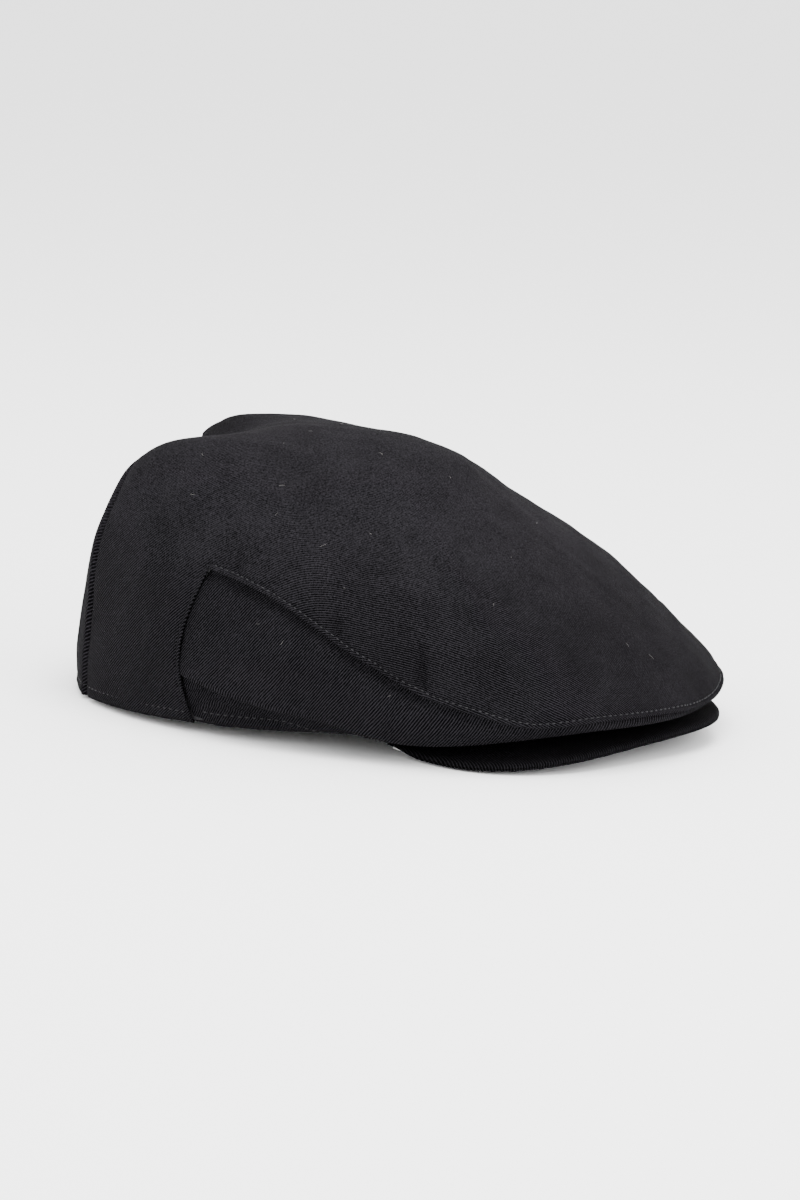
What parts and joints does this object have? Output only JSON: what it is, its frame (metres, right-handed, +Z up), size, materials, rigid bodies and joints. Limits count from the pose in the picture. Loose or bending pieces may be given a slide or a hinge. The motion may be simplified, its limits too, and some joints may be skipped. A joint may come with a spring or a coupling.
{
  "type": "flat cap",
  "caption": "Black twill flat cap with a one-piece dart-shaped top, side panels, lining, sweatband and a stiff brim that unsnaps from the nose.",
  "frame": {"origin": "centre of the head opening, on the surface the cap rests on", "axes": "+X to the wearer's left, +Y to the wearer's back with the brim towards -Y, +Z up"},
  "size_m": [0.188, 0.2671, 0.1128],
  "materials": {
    "black_twill": "matte cotton twill, fine diagonal ribs, soft sheen",
    "lining_satin": "smooth black satin lining",
    "sweatband_cotton": "plain woven cotton band with two stitch rows",
    "elastic_rib": "gathered band over ribbed elastic",
    "label_tape": "blank woven satin tape",
    "brim_board_plastic": "calendered polyethylene sheet",
    "stud_metal": "gunmetal press stud, satin"
  },
  "bodies": {
    "crown": {"top_panel": "black_twill", "side_panel_left": "black_twill", "side_panel_right": "black_twill", "lining_top": "lining_satin", "lining_side_left": "lining_satin", "lining_side_right": "lining_satin", "sweatband": "sweatband_cotton", "back_elastic": "elastic_rib", "blank_label": "label_tape", "snap_socket": "stud_metal", "snap_socket_ring": "stud_metal"},
    "brim": {"brim_board": "brim_board_plastic", "brim_cover_top": "black_twill", "brim_cover_under": "black_twill", "snap_stud": "stud_metal"}
  },
  "joints": [
    {"name": "brim_swing", "type": "hinge", "parent": "crown", "child": "brim", "pos_m": [0, -0.044, 0.0085], "axis": [1, 0, 0], "range_deg": [0, 15]}
  ]
}
